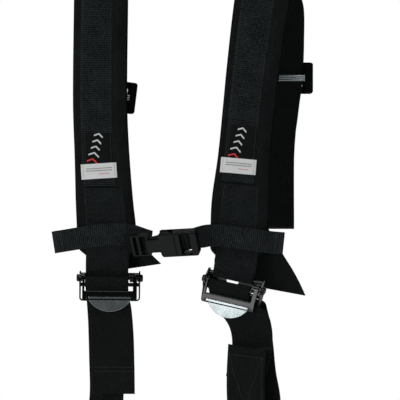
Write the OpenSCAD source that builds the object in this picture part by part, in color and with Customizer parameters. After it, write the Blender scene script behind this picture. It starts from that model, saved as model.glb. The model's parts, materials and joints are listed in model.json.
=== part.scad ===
// Four-point racing harness, hung over its shoulders with the lap buckle open.
// +Z is up, the wearer faces -Y, and the origin is under the crest, midway between the pads.

/* [Webbing] */
// Width of the shoulder and lap webbing
web_w = 49; // [46:1:52]
// Thickness of one layer of shoulder webbing
web_t = 2; // [1.6:0.2:2.2]
// Width of the sternum webbing
sternum_w = 25.5; // [24:0.5:27]
// Thickness of one layer of sternum webbing
sternum_t = 1.6; // [1.2:0.2:1.8]

/* [Shoulder pads] */
// Thickness of a pad
pad_t = 12; // [10:1:13]
// Radius of the middle of a pad where it goes over the shoulder
crest_r = 36; // [34:1:40]
// Thickness of the facing and of each patch that is sewn on a pad
facing_t = 1.5; // [1:0.1:1.6]

/* [Rear slides] */
// Outer width of a three-bar slide
slide_w = 70; // [68:1:74]
// Outer height of a three-bar slide
slide_h = 37; // [34:1:40]
// Thickness of the slide's plate
slide_t = 2.4; // [2:0.2:3]

/* [Shoulder adjusters] */
// Width of the stirrup frame, over its side plates
frame_w = 70; // [68:1:74]
// Thickness of the stirrup's sheet
frame_t = 1.6; // [1.4:0.1:2]
// Radius of the friction bar
bar_r = 5; // [4.5:0.5:5]
// Radius of the two pivot rivets
rivet_r = 2.2; // [2:0.1:2.6]

/* [Sternum buckle] */
// Thickness of the socket
buckle_t = 11.5; // [11:0.5:13]
// Width of the socket
buckle_w = 31; // [30.5:0.5:32]
// How far the socket reaches to the right of the buckle's middle
socket_end = 41.5; // [40:0.5:43]

/* [Lap hardware] */
// Thickness of the steel plates
plate_t = 3; // [2.5:0.5:3]
// Radius of the anchor bolt hole
bolt_r = 5.75; // [5.5:0.25:6.5]

/* [Hidden] */
$fn = 40;

LEFT = 0;
RIGHT = 1;
BLACK = [0.07, 0.07, 0.08];
DARK = [0.11, 0.11, 0.12];
STEEL = [0.7, 0.71, 0.73];
NYLON = [0.13, 0.13, 0.14];
LABEL = [0.9, 0.9, 0.88];

front_y = -crest_r;
crest_z = pad_t / 2 - crest_r;
half = web_w / 2;

function unit(v) = v / norm(v);
function first3(s) = [s[0], s[1], s[2]];
function last3(s) = [s[3], s[4], s[5]];

// Catmull-Rom curve through hand-set stations, n steps to each span
function blend4(a, b, c, d, t) =
    0.5 * (2 * b + (c - a) * t + (2 * a - 5 * b + 4 * c - d) * t * t + (3 * b - a - 3 * c + d) * t * t * t);
function smooth(p, n) = [
    for (i = [0 : len(p) - 2], k = [0 : n - 1])
        blend4(p[max(i - 1, 0)], p[i], p[i + 1], p[min(i + 2, len(p) - 1)], k / n),
    p[len(p) - 1]
];

// Half-width vector: roll lowers its right end, yaw brings its right end forward
function across(h, roll = 0, yaw = 0) =
    h * [cos(roll) * cos(yaw), -cos(roll) * sin(yaw), -sin(roll)];
// A station is a middle point and a half-width vector
function station(x, y, z, h, roll = 0, yaw = 0) = concat([x, y, z], across(h, roll, yaw));

function tangent(s, i) =
    unit(first3(s[min(i + 1, len(s) - 1)]) - first3(s[max(i - 1, 0)]));
function normal_at(s, i) = unit(cross(last3(s[i]), tangent(s, i)));

// Sweeps a closed profile of [share of the half width, height] along the stations
module sweep(s, profile) {
    n = len(profile);
    m = len(s);
    points = [
        for (i = [0 : m - 1], p = profile) first3(s[i]) + last3(s[i]) * p[0] + normal_at(s, i) * p[1]
    ];
    // Two triangles to each side quad, because a twisted strap's quads aren't flat. The diagonals of
    // opposite faces run the same way, so that the faces stay one thickness apart.
    sides = [
        for (i = [0 : m - 2], k = [0 : n - 1])
            let (a = i * n + k, b = i * n + (k + 1) % n)
            each k < n / 2 ? [[a, b, b + n], [a, b + n, a + n]] : [[a, b, a + n], [b, b + n, a + n]]
    ];
    start_cap = [[for (k = [n - 1 : -1 : 0]) k]];
    end_cap = [[for (k = [0 : n - 1]) (m - 1) * n + k]];
    polyhedron(points = points, faces = concat(sides, start_cap, end_cap), convexity = 10);
}

module ribbon(s, t) {
    sweep(s, [[-1, -t / 2], [1, -t / 2], [1, t / 2], [-1, t / 2]]);
}

// Turn of a strap round a bar: from angle a0 to a1, 0 is behind the bar and 90 above it
function wrap(p, r, a0, a1, h, roll, yaw, steps) = [
    for (k = [0 : steps])
        let (a = a0 + (a1 - a0) * k / steps, back = r * cos(a), up = r * sin(a))
        station(
            p[0] + back * sin(yaw) + up * sin(roll) * cos(yaw),
            p[1] + back * cos(yaw) - up * sin(roll) * sin(yaw),
            p[2] + up * cos(roll), h, roll, yaw
        )
];

// Rounded rectangle in the XZ plane, with its thickness along Y
module slab(w, h, t, r) {
    rotate([90, 0, 0])
        linear_extrude(t, center = true) {
            square([w - 2 * r, h], center = true);
            square([w, h - 2 * r], center = true);
            for (x = [-1, 1], z = [-1, 1])
                translate([x * (w / 2 - r), z * (h / 2 - r)])
                    circle(r);
        }
}

// ---- Shoulder pads ----

// Front run of each pad from its bottom end up, as x, z and half width
pad_front = [
    [[-68.5, -362, 23], [-70, -352, 31], [-71, -340, 34.5], [-71.3, -319, 34.9], [-73.4, -290, 34],
     [-76, -240, 32.6], [-78.2, -186, 32.2], [-78.2, -140, 32.2], [-77.5, -85, 32.2], [-77, -45, 32.2]],
    [[78.5, -362, 23], [80, -352, 31], [81.5, -340, 33.5], [82.1, -319, 34.1], [83.4, -290, 33.9],
     [88, -240, 31.4], [93, -186, 31], [98, -140, 31.6], [105, -85, 32.6], [110.5, -45, 33]]
];
pad_back_x = [-74, 122];
pad_lean = [0, 6];
function pad_run(side) = [
    for (p = pad_front[side]) station(p[0], front_y, p[1], p[2], p[1] > -300 ? pad_lean[side] : 0)
];
function crest_run(side) =
    let (p = pad_front[side][9])
    [for (a = [0 : 20 : 180])
        station(
            p[0] + (pad_back_x[side] - p[0]) * a / 180,
            -crest_r * cos(a), crest_z + crest_r * sin(a), 32.5
        )];
pad_path = [
    for (side = [LEFT, RIGHT])
        concat(pad_run(side), crest_run(side), [station(pad_back_x[side], crest_r, crest_z - 14, 31)])
];

module pad(side) {
    e = pad_t / 2;
    color(DARK)
        sweep(pad_path[side], [
            [-1, -0.25 * e], [-0.95, -0.7 * e], [-0.8, -e], [0.8, -e], [0.95, -0.7 * e], [1, -0.25 * e],
            [1, 0.25 * e], [0.95, 0.7 * e], [0.8, e], [-0.8, e], [-0.95, 0.7 * e], [-1, 0.25 * e]
        ]);
}

// A pad's front run cut at a height, and the part of it between two heights
function front_at(side, z) =
    let (run = pad_run(side), i = max([for (k = [0 : len(run) - 2]) if (run[k][2] <= z) k]))
    run[i] + (run[i + 1] - run[i]) * (z - run[i][2]) / (run[i + 1][2] - run[i][2]);
function front_part(side, z0, z1) = concat(
    [front_at(side, z0)],
    [for (s = pad_run(side)) if (s[2] > z0 + 1 && s[2] < z1 - 1) s],
    [front_at(side, z1)]
);

// A flat piece sewn on a pad's front: its edges as shares of the half width, and its top and bottom faces
module sewn_on(stations, u0, u1, low, high) {
    sweep(stations, [[u0, low], [u1, low], [u1, high], [u0, high]]);
}

facing_split = [-274, -270];
facing_edges = [[-0.7, 0.42], [-0.73, 0.42]];
base_edges = [[-0.69, 0.68], [-0.66, 0.6]];
base_low = -339.5;
front_face = pad_t / 2 - 0.3;

module pad_facing(side) {
    run = concat(front_part(side, facing_split[side], -46), crest_run(side));
    color(BLACK)
        sewn_on(run, facing_edges[side][0], facing_edges[side][1], front_face, pad_t / 2 + facing_t);
}

module pad_base(side) {
    run = front_part(side, base_low, facing_split[side] - 0.5);
    color(NYLON)
        sewn_on(run, base_edges[side][0], base_edges[side][1], front_face, pad_t / 2 + facing_t - 0.3);
}

patch_z = [[-266, -211], [-261, -203]];
label_z = [[-265.5, -247.5], [-260.5, -241]];

module patch(side) {
    color(DARK)
        sewn_on(
            front_part(side, patch_z[side][0], patch_z[side][1]),
            facing_edges[side][0] + 0.06, facing_edges[side][1] - 0.04,
            pad_t / 2 + facing_t - 0.2, pad_t / 2 + facing_t + 0.7
        );
}

module label_strip(side) {
    color(LABEL)
        sewn_on(
            front_part(side, label_z[side][0], label_z[side][1]),
            facing_edges[side][0] + 0.03, facing_edges[side][1] - 0.01,
            pad_t / 2 + facing_t + 0.5, pad_t / 2 + facing_t + 1.3
        );
}

// ---- Webbing behind the shoulders ----

// Rear run from the pad's back end down, as x and z
rear_run = [
    [[-74, -36], [-73, -70], [-73, -110], [-73, -150], [-73, -200], [-73, -240], [-73, -316]],
    [[123, -36], [133.6, -62], [134.4, -105], [132.6, -147], [127.4, -190], [123, -232], [122.7, -318.5]]
];
loop_gap = 9;
tail_top = [-120, -102];

module rear_webbing(side) {
    down = [for (p = rear_run[side]) station(p[0], crest_r, p[1], half)];
    low = rear_run[side][6];
    fold = wrap([low[0], crest_r + loop_gap / 2, low[1]], loop_gap / 2, 180, 360, half, 0, 0, 6);
    side_run = rear_run[side];
    slide = slide_at[side];
    up = [
        station(low[0], crest_r + loop_gap, low[1] + 40, half),
        station(side_run[5][0] + 0.3, crest_r + loop_gap - 2, side_run[5][1], half),
        station(side_run[4][0], crest_r + 2.6, slide[2] - 38, half),
        station(side_run[3][0], crest_r + 2.4, slide[2], half),
        station(side_run[2][0], crest_r + 2.4, tail_top[side], half)
    ];
    color(NYLON)
        ribbon(concat(smooth(down, 3), [for (i = [1 : 6]) fold[i]], smooth(up, 3)), web_t);
}

slide_at = [[-73, crest_r, -167], [134.2, crest_r, -147]];
slide_roll = [7, 0];
slide_plate_y = 6.0;
slide_bar_y = -2.6;
slide_open_w = 58;
// Left and right end of the way for the strap in each rear slide, between its end blocks
slide_open = [[-27.5, 27.5], [-29, 25.6]];
// Middle and width of the window in each rear slide's plate, which the strap covers
slide_window = [[0, 48], [-1.6, 48]];

module place_slide(side) {
    translate(slide_at[side])
        rotate([0, slide_roll[side], 0])
            children();
}

module rear_slide(side) {
    open = slide_open[side];
    ends = [[-slide_w / 2, open[0]], [open[1], slide_w / 2]];
    color(BLACK)
        place_slide(side) {
            translate([0, slide_plate_y, 0])
                difference() {
                    slab(slide_w, slide_h, slide_t, 4);
                    translate([slide_window[side][0], 0, 0])
                        slab(slide_window[side][1], slide_h - 15, slide_t + 1, 2);
                }
            for (end = ends)
                translate([(end[0] + end[1]) / 2, (slide_plate_y + slide_bar_y) / 2, 0])
                    slab(end[1] - end[0], slide_h - 1, slide_plate_y - slide_bar_y + 2.4, 2.6);
        }
}

module slide_bar(side) {
    open = slide_open[side];
    color(STEEL)
        place_slide(side)
            translate([(open[0] + open[1]) / 2, slide_bar_y, 0]) {
                slab(open[1] - open[0] + 4, 7.6, 2, 0.8);
                for (z = [-2.4, 0, 2.4])
                    translate([0, -0.9, z])
                        rotate([0, 90, 0])
                            cylinder(h = open[1] - open[0], r = 0.7, center = true);
            }
}

// ---- Shoulder adjusters ----

// Middle of each adjuster's rivet line, and how it hangs
adjuster_at = [[-67, -40, -379.7], [75.5, -40, -387.5]];
adjuster_roll = [0.5, 12];
adjuster_yaw = [0, 17];
// Places in the adjuster's own frame: x to the right, y to the back, z up
drum = [-3.5, 0, -5.7];
loop_bar_at = [[-3.5, 9, 3.5], [-3.5, 7, 8.5]];
loop_bar_r = 2.5;

// A place in an adjuster's own frame, in the frame of the whole harness
function in_adjuster(side, v) =
    let (r = adjuster_roll[side], w = adjuster_yaw[side])
    let (x = v[0] * cos(r) + v[2] * sin(r), z = v[2] * cos(r) - v[0] * sin(r))
    adjuster_at[side] + [x * cos(w) + v[1] * sin(w), v[1] * cos(w) - x * sin(w), z];

module place_adjuster(side) {
    translate(adjuster_at[side])
        rotate([0, 0, -adjuster_yaw[side]])
            rotate([0, adjuster_roll[side], 0])
                children();
}

back_plate_y = 15.4;

module adjuster_frame(side) {
    x = frame_w / 2;
    foot = 26.5;
    corner = 4;
    ear = [loop_bar_at[side][1], loop_bar_at[side][2]];
    ear_r = loop_bar_r + 2;
    color(DARK)
        place_adjuster(side)
            difference() {
                union() {
                    // Side plates, each with a rounded ear
                    for (s = [-1, 1])
                        translate([s * (x - frame_t / 2), 0, 0])
                            rotate([90, 0, 90])
                                linear_extrude(frame_t, center = true) {
                                    translate([0, -3])
                                        circle(7);
                                    translate(ear)
                                        circle(ear_r);
                                    translate([ear[0], -2.5])
                                        square([back_plate_y + frame_t / 2 - ear[0], 8]);
                                    polygon([[-5.5, 1], [ear[0] - 2, ear[1] + ear_r - 0.5], ear + [ear_r, 0],
                                        [9, -8], [4.2, -foot + corner], [-0.6, -foot + corner], [-2.6, -12]]);
                                }
                    // Foot, with a round bend at each end
                    translate([0, 1.6, 0])
                        rotate([90, 0, 0])
                            linear_extrude(5.2, center = true)
                                difference() {
                                    union() {
                                        for (s = [-1, 1])
                                            translate([s * (x - corner), -foot + corner])
                                                circle(corner);
                                        translate([-x + corner, -foot])
                                            square([2 * (x - corner), frame_t]);
                                    }
                                    for (s = [-1, 1])
                                        translate([s * (x - corner), -foot + corner])
                                            circle(corner - frame_t);
                                    translate([-x + frame_t, -foot + corner])
                                        square([2 * (x - frame_t), corner]);
                                    translate([-x + corner, -foot + frame_t])
                                        square([2 * (x - corner), corner]);
                                }
                    // Back plate between the side plates
                    translate([0, back_plate_y, 1.5])
                        difference() {
                            cube([frame_w - frame_t, frame_t, 8], center = true);
                            translate([-6.5, 0, 1])
                                slab(15, 4.4, 3 * frame_t, 2);
                        }
                }
                // Holes for the rivets
                rotate([0, 90, 0])
                    cylinder(h = 2 * frame_w, r = rivet_r + 0.05, center = true);
            }
}

module loop_bar(side) {
    color(DARK)
        place_adjuster(side)
            translate([0, loop_bar_at[side][1], loop_bar_at[side][2]])
                rotate([0, 90, 0])
                    cylinder(h = frame_w - 2 * frame_t, r = loop_bar_r, center = true);
}

module friction_bar(side) {
    stub_r = 2.2;
    color(DARK)
        place_adjuster(side) {
            translate(drum)
                rotate([0, 90, 0])
                    cylinder(h = web_w + 1, r = bar_r, center = true);
            translate([0, drum[1], drum[2] - 1.9])
                rotate([0, 90, 0])
                    cylinder(h = frame_w - 2 * frame_t, r = stub_r, center = true);
        }
}

module rivets(side) {
    color(DARK)
        place_adjuster(side)
            for (s = [-1, 1])
                translate([s * 29.5, 0, 0])
                    rotate([0, s * 90, 0]) {
                        cylinder(h = 6, r = rivet_r);
                        // Washer inside the side plate, head outside it
                        translate([0, 0, 2.2])
                            cylinder(h = 1.6, r = 4.3);
                        translate([0, 0, 5.6])
                            cylinder(h = 2.2, r = 4.3);
                        translate([0, 0, 7.8])
                            cylinder(h = 0.9, r1 = 4.3, r2 = 3.2);
                    }
}

yoke_r = 4.6;
yoke_low = -25.3;
plate_top = -16;
plate_front = -10;

module release_yoke(side) {
    // Each arm's ends along X. The right one has a boss, because the friction bar sits to the left.
    arms = [[-31.4, -28.9], [26.8, 31.4]];
    boss_x = 22.8;
    color(BLACK)
        place_adjuster(side)
            difference() {
                union() {
                    for (arm = arms)
                        translate([arm[0], 0, 0])
                            rotate([90, 0, 90])
                                linear_extrude(arm[1] - arm[0]) {
                                    circle(yoke_r);
                                    polygon([[-yoke_r, 0], [0, -yoke_r], [-4.4, -6.5], [-6, yoke_low],
                                        [plate_front, yoke_low], [plate_front, plate_top]]);
                                }
                    translate([boss_x, 0, 0])
                        rotate([0, 90, 0])
                            cylinder(h = arms[1][0] - boss_x, r = yoke_r);
                    // Front plate and its turned-in lip
                    translate([0, plate_front + 1, (plate_top + yoke_low) / 2])
                        cube([62.8, 2, plate_top - yoke_low], center = true);
                    translate([0, plate_front + 1.6, plate_top])
                        rotate([0, 90, 0])
                            cylinder(h = 61, r = 1.4, center = true);
                }
                rotate([0, 90, 0])
                    cylinder(h = 80, r = rivet_r + 0.05, center = true);
                // Slot in the plate, between the arms
                translate([-1, plate_front, -22.7])
                    cube([51, 6, 2.3], center = true);
            }
}

// Half-round finger tab, which hangs below the yoke's plate
module release_tab(side) {
    tab_w = 48.6;
    tab_h = 14.3;
    tab_r = 28.6;
    color(STEEL)
        place_adjuster(side)
            translate([0.3, plate_front + 2.8, yoke_low + 1])
                rotate([90, 0, 0])
                    linear_extrude(1.6, center = true) {
                        intersection() {
                            translate([0, tab_r - tab_h])
                                circle(tab_r, $fn = 72);
                            translate([-tab_w / 2, -tab_h - 1])
                                square([tab_w, tab_h + 1]);
                        }
                        translate([-tab_w / 2, -0.1])
                            square([tab_w, 6]);
                    }
}

// Webbing between the pad and the adjuster: down in front, round the loop bar, and up behind
strap_top = [[-69.5, -341], [80, -341]];

module adjuster_webbing(side) {
    r = adjuster_roll[side];
    w = adjuster_yaw[side];
    turn_r = loop_bar_r + web_t / 2 + 0.3;
    bar = in_adjuster(side, loop_bar_at[side]);
    fold = wrap(bar, turn_r, 180, 360, half, r, w, 8);
    top = strap_top[side];
    lean = (bar[0] - top[0]) / (top[1] - bar[2]);
    // Height above the loop bar at which both layers are flat against the pad
    rise = 15;
    front = [
        station(top[0], front_y - 7.4, top[1], half, 0),
        station(top[0] + lean * 11, front_y - 7.4, top[1] - 11, half, r * 0.3),
        station(bar[0] - lean * rise, front_y - 6.9, bar[2] + rise, half, r * 0.7, w * 0.6),
        station(fold[0][0] - lean * 4, fold[0][1] - 0.6, fold[0][2] + 4, half, r, w)
    ];
    back = [
        station(fold[8][0] - lean * 3, fold[8][1] + 0.2, fold[8][2] + 4, half, r, w),
        station(bar[0] - lean * rise, front_y + 7.4, bar[2] + rise, half, r * 0.5, w * 0.4),
        station(top[0] + lean * rise, front_y + 7.4, top[1] - rise, half)
    ];
    color(NYLON)
        ribbon(concat(smooth(front, 3), fold, smooth(back, 3)), web_t);
}

// Lower webbing: its pull end, the turn over the friction bar, the long rear run,
// the loop on the lap hardware and the sewn return. Rows are x, y, z, half width, roll and yaw.
pull_run = [
    [[-62.6, -42.5, -513, half, 0, 0], [-63, -43, -480, half, 0, 0], [-64, -43, -445, half, 0, 0],
     [-66.5, -43, -415, half, 0, 0], [-69.5, -43.6, -402, half, 0, 0]],
    [[90, -42, -491, half, -4, 16], [96.5, -42.5, -462, half, -8, 16], [96, -45.5, -440, half, -12, 16],
     [90, -48, -424, half, -14, 17], [75.5, -43.8, -411, half, 0, 17], [70.8, -43.4, -402, half, 10, 17]]
];
hang_run = [
    [[-69.8, -33.2, -400, half, 0, 0], [-68, -31.5, -430, half, 0, 6], [-68.5, -28, -470, half, 0, 20],
     [-71, -24, -512, half, 0, 36], [-72, -28, -548, half, 0, 26], [-72, -32, -585, half, 0, 0]],
    [[75, -31.5, -402, half, 4, 15], [88, -30.5, -413, half, -14, 15], [92.5, -30, -425, half, -16, 18],
     [96, -30.5, -440, half, -12, 20], [99.5, -31, -462, half, -8, 26], [103, -31, -490, half, -8, 30],
     [108, -31.5, -519, half, -6, 30], [108.5, -32, -555, half, 0, 20], [101, -32, -590, half, 4, 0]]
];
lap_bar = [[-72, -34, -612], [100, -34, -616]];
lap_turn_r = plate_t / 2 + web_t / 2 + 0.9;
return_run = [
    [[-72, -27.5, -598, half, 0, 0], [-72, -23.5, -575, half, 0, 8], [-72, -17.5, -545, half, 0, 22]],
    [[99, -39.5, -598, half, 4, 0], [95, -47.5, -565, half, 2, 14], [89.5, -52, -519, half, 0, 28],
     [89, -52.5, -488, half, 2, 29], [90.5, -52, -459, half, 8, 29]]
];
function rows(list) = [for (p = list) station(p[0], p[1], p[2], p[3], p[4], p[5])];

module lower_webbing(side) {
    turn_r = bar_r + web_t / 2 + 0.3;
    over = wrap(in_adjuster(side, drum), turn_r, 190, -10, half, adjuster_roll[side], adjuster_yaw[side], 8);
    b = lap_bar[side] - [0, 0, 1.2];
    // The left strap turns under its bar to the back, the right one to the front
    turn = side == LEFT ? [180, 360] : [0, -180];
    under = wrap(b, lap_turn_r, turn[0], turn[1], half, 0, 0, 8);
    lead = station(b[0], b[1] + lap_turn_r * cos(turn[0]), b[2] + 8, half);
    color(NYLON)
        ribbon(concat(
            smooth(rows(pull_run[side]), 2), over,
            smooth(concat(rows(hang_run[side]), [lead]), 2), under, smooth(rows(return_run[side]), 2)
        ), web_t);
}

// Free end of the shoulder webbing, which hangs behind the pad. Rows are its left edge and right edge.
tail_edges = [
    [[[-101, -23, -330], [-55, -24, -318]], [[-84, -22, -350], [-35, -24, -336]],
     [[-70, -20, -364], [-21, -25, -351]], [[-57, -19, -371], [-8, -26, -363.6]]],
    [[[66, -24, -330], [113, -23, -318]], [[80, -22, -360], [133, -22, -353]],
     [[92, -20, -375], [143, -22, -369]], [[100, -18, -385], [152, -23, -385.5]],
     [[109, -16, -391.5], [158.7, -25, -400.4]]]
];

module web_tail(side) {
    s = [for (e = tail_edges[side]) concat((e[0] + e[1]) / 2, (e[1] - e[0]) / 2)];
    color(BLACK)
        ribbon(smooth(s, 3), web_t);
}

// ---- Sternum strap and its buckle ----

// Each loop goes round its pad: in front from the buckle to the outer end, then back behind.
// Rows are x, y and z.
sternum_run = [
    [[-19, -49.3, -338], [-30, -47.8, -334.5], [-40, -46.6, -331], [-52, -46, -329.5], [-66, -46, -329.3],
     [-84, -46, -331], [-98, -45.8, -333.2], [-106, -44, -334.6], [-113, -40, -335.8], [-119, -37.6, -336.8],
     [-131.5, -37, -338.8]],
    [[34, -57.5, -334], [40, -51.5, -332], [47, -47.5, -330.8], [56, -46, -330.8], [70, -46, -332],
     [90, -46, -334.5], [106, -45.8, -337], [114, -43.6, -338], [119, -40, -338.6], [123, -37.6, -339],
     [132.5, -37, -339.8]]
];
sternum_roll = [[7, 6, 4, 1, -2, -5, -8, -9, -9, -9, -9], [-12, -9, -5, 2, 7, 8, 8, 7, 6, 6, 6]];
// Rows are x and y, from the outer end back to the buckle
sternum_back = [
    [[-131.5, -35.1], [-119, -35.2], [-113, -33.3], [-106, -29.4], [-98, -27.2], [-84, -27], [-52, -27],
     [-43, -27.1], [-36.5, -28.8], [-31.5, -33.5], [-27.5, -40.5], [-25, -46.4]],
    [[132.5, -35.1], [123, -35.2], [119, -33.2], [114, -29.4], [106, -27.2], [90, -27], [56, -27],
     [49, -27.8], [43.5, -32], [40, -42], [37, -51.6]]
];

function at_x(x, rows, column) = lookup(x, [for (row = rows) [row[0], row[column]]]);

module sternum_loop(side) {
    run = sternum_run[side];
    roll = sternum_roll[side];
    n = len(run);
    front = [
        for (i = [0 : n - 1])
            concat(run[i], sternum_w / 2 * [sin(roll[i]), 0, cos(roll[i])])
    ];
    // The back layer has the front layer's heights, and a line of its own behind the pad
    back = [
        for (p = sternum_back[side])
            let (z = at_x(p[0], run, 2), a = lookup(p[0], [for (i = [0 : n - 1]) [run[i][0], roll[i]]]))
            concat([p[0], p[1], z], sternum_w / 2 * [sin(a), 0, cos(a)])
    ];
    color(NYLON)
        ribbon(concat(smooth(front, 2), smooth(back, 2)), sternum_t);
}

// The buckle's middle, and the turns that take its own frame to the row frame
buckle_at = [-5.2, -63, -339.8];
buckle_yaw = -18;
buckle_pitch = 28;
buckle_roll = -12;

module place_buckle() {
    translate(buckle_at)
        rotate([0, buckle_roll, 0])
            rotate([buckle_pitch, 0, 0])
                rotate([0, 0, buckle_yaw])
                    children();
}

// A plate in the buckle's XZ plane from an outline of [x, z] points
module outline(points, t) {
    rotate([90, 0, 0])
        linear_extrude(t, center = true)
            polygon(points);
}

plug_h = 13.5;
// Where the prongs spring from the plug, and the radius of that root
root_at = [-12, 7.2];
root_r = 1.9;

module buckle_plug() {
    color(BLACK)
        place_buckle() {
            difference() {
                translate([-27.1, 0, 0])
                    slab(21.2, 2 * plug_h, 5.4, 2);
                // Ladder slots for the webbing, each as its middle and its width
                for (slot = [[-32.4, 4.2], [-23.4, 7.4]])
                    translate([slot[0], 0, 0])
                        slab(slot[1], 2 * plug_h - 3, 8, 0.8);
            }
            // Shoulder and middle guide
            outline([[-18, -plug_h], [-15.4, -plug_h + 1.4], [-15.4, plug_h - 1.4], [-18, plug_h]], 7);
            outline([[-16, -2.4], [6, -2], [8, 0], [6, 2], [-16, 2.4]], 4.4);
            // Post behind each prong's root
            difference() {
                for (z = [-1, 1])
                    outline([[-16, z * 5], [-16, z * 9], [-11.6, z * 9], [-11.6, z * 5]], 5);
                for (z = [-1, 1])
                    translate([root_at[0], 0, z * root_at[1]])
                        rotate([90, 0, 0])
                            cylinder(h = 8, r = root_r + 0.2, center = true);
            }
        }
}

module buckle_prong(z) {
    color(BLACK)
        place_buckle() {
            translate([root_at[0], 0, z * root_at[1]])
                rotate([90, 0, 0])
                    cylinder(h = 5.4, r = root_r, center = true);
            outline([[-12, z * 9], [-12, z * 5.4], [4, z * 8.4], [11, z * 8.4], [13, z * 10],
                [11, z * 12.6], [7, z * 15], [1, z * 15], [-2.4, z * 12.8], [-5, z * 10.4]], 5.4);
        }
}

socket_start = -3;
// How far the room for the prongs reaches into the socket
room_end = 14;

module buckle_socket() {
    length = socket_end - socket_start;
    middle = (socket_end + socket_start) / 2;
    color(BLACK)
        place_buckle()
            difference() {
                union() {
                    translate([middle, 0, 0]) {
                        slab(length, buckle_w - 3, buckle_t, 3);
                        slab(length, buckle_w, buckle_t - 2, 3);
                    }
                    // Lip that reaches over the front of the plug's shoulder
                    translate([socket_start - 6, -buckle_t / 2 + 1, 0])
                        slab(20, 16.4, 2, 2);
                }
                // Room for the prongs, open at the left and on both sides
                translate([room_end - 20, 0, 0])
                    cube([40, 7.6, 2 * buckle_w], center = true);
                // Slot for the webbing
                translate([27.7, 0, 0])
                    slab(12.8, 27.5, 20, 1);
                // Groove across the front
                translate([15.8, -buckle_t / 2, 0])
                    cube([2.2, 2.4, 26], center = true);
            }
}

// ---- Lap hardware ----

module plate_slot(x, z) {
    translate([x, 0, z])
        slab(53, 6.4, 3 * plate_t, 3.1);
}

// Tongue plate: a slot for the shoulder strap, a slot for the lap strap and the blade
module lap_tongue() {
    color(STEEL)
        translate(lap_bar[LEFT])
            difference() {
                union() {
                    translate([0, 0, -30])
                        slab(64, 67, plate_t, 6);
                    translate([48, 0, -30])
                        slab(44, 27, plate_t, 4);
                }
                plate_slot(0, -5.6);
                plate_slot(0, -54.4);
                translate([56, 0, -30])
                    slab(9, 13, 3 * plate_t, 1.5);
            }
}

module lap_latch_plate() {
    color(STEEL)
        translate(lap_bar[RIGHT])
            difference() {
                union() {
                    translate([0, 0, -30])
                        slab(64, 67, plate_t, 6);
                    translate([-50, 0, -30])
                        slab(56, 44, plate_t, 5);
                }
                plate_slot(0, -5.6);
                plate_slot(0, -54.4);
            }
}

latch_middle = -52;

// Cover in front of the latch plate: a pressed box that the tongue slides into
module lap_latch_cover() {
    color(BLACK)
        translate(lap_bar[RIGHT])
            translate([latch_middle, -plate_t / 2 - 4, -30])
                difference() {
                    slab(54, 48, 8, 4);
                    translate([-4, 2, 0])
                        cube([52, 8, 30], center = true);
                }
}

latch_hinge = [latch_middle + 20, -plate_t / 2 - 11.4, -30];

module lap_latch_lever() {
    color(DARK)
        translate(lap_bar[RIGHT])
            translate(latch_hinge)
                difference() {
                    union() {
                        translate([-24.5, -0.4, 0])
                            slab(40, 34, 2.6, 5);
                        cylinder(h = 24, r = 3, center = true);
                        translate([-2.5, -0.4, 0])
                            cube([5, 2.6, 24], center = true);
                        translate([-41, -2.6, 0])
                            slab(5, 30, 5, 2);
                    }
                    cylinder(h = 80, r = 1.55, center = true);
                }
}

module lap_latch_pin() {
    color(STEEL)
        translate(lap_bar[RIGHT])
            translate(latch_hinge) {
                cylinder(h = 34, r = 1.5, center = true);
                // Posts that carry the pin's ends
                for (z = [-1, 1])
                    translate([0, 1, z * 15.2])
                        cube([6, 4.8, 3.6], center = true);
            }
}

lap_web_x = [-72, 100];
anchor_bar_z = -842;
anchor_bar_r = 2.4;
anchor_turn_r = anchor_bar_r + web_t / 2 + 1.4;
lap_slide_z = -780;

module lap_webbing(side) {
    x = lap_web_x[side];
    y = lap_bar[side][1];
    top = lap_bar[side][2] - 58.8;
    color(NYLON)
        ribbon(concat(
            [station(x, y + 3.1, top - 70, half), station(x, y + 3.2, top - 34, half)],
            wrap([x, y, top], lap_turn_r, 0, 180, half, 0, 0, 8),
            [station(x, y - 3.2, top - 34, half), station(x, y - 3.2, top - 80, half),
             station(x, y - 2.6, -752, half), station(x, y - 2.6, -808, half),
             station(x, y - 4.2, -826, half)],
            wrap([x, y, anchor_bar_z], anchor_turn_r, 180, 360, half, 0, 0, 8),
            [station(x, y + 4.2, -824, half), station(x, y - 0.2, -806, half),
             station(x, y - 0.2, -748, half)]
        ), web_t);
}

module lap_slide(side) {
    end_w = (slide_w - slide_open_w) / 2;
    y = lap_bar[side][1] - 1.4;
    color(BLACK)
        translate([lap_web_x[side], y, lap_slide_z]) {
            translate([0, 4.2, 0])
                difference() {
                    slab(slide_w, slide_h, slide_t, 4);
                    slab(slide_open_w, slide_h - 15, slide_t + 1, 2);
                }
            for (s = [-1, 1])
                translate([s * (slide_w - end_w) / 2, 0.6, 0])
                    slab(end_w, slide_h - 1, 9.6, 2.6);
            translate([0, -3.9, 0])
                rotate([0, 90, 0])
                    cylinder(h = slide_open_w + 4, r = 1.2, center = true);
        }
}

// Bolt-in end plate: a round bar for the webbing, a slot under it, and one bolt hole
module anchor_plate(side) {
    hole_z = -46;
    color(STEEL)
        translate([lap_web_x[side], lap_bar[side][1], anchor_bar_z]) {
            difference() {
                union() {
                    translate([0, 0, -8])
                        slab(66, 18, plate_t, 5);
                    outline([[-33, -12], [33, -12], [12.5, -50], [-12.5, -50]], plate_t);
                    translate([0, 0, hole_z])
                        rotate([90, 0, 0])
                            cylinder(h = plate_t, r = 15.5, center = true);
                }
                translate([0, 0, -7])
                    slab(54, 10.4, 3 * plate_t, 4);
                translate([0, 0, hole_z])
                    rotate([90, 0, 0])
                        cylinder(h = 3 * plate_t, r = bolt_r, center = true);
            }
            rotate([0, 90, 0])
                cylinder(h = 60, r = anchor_bar_r, center = true);
        }
}

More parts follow.
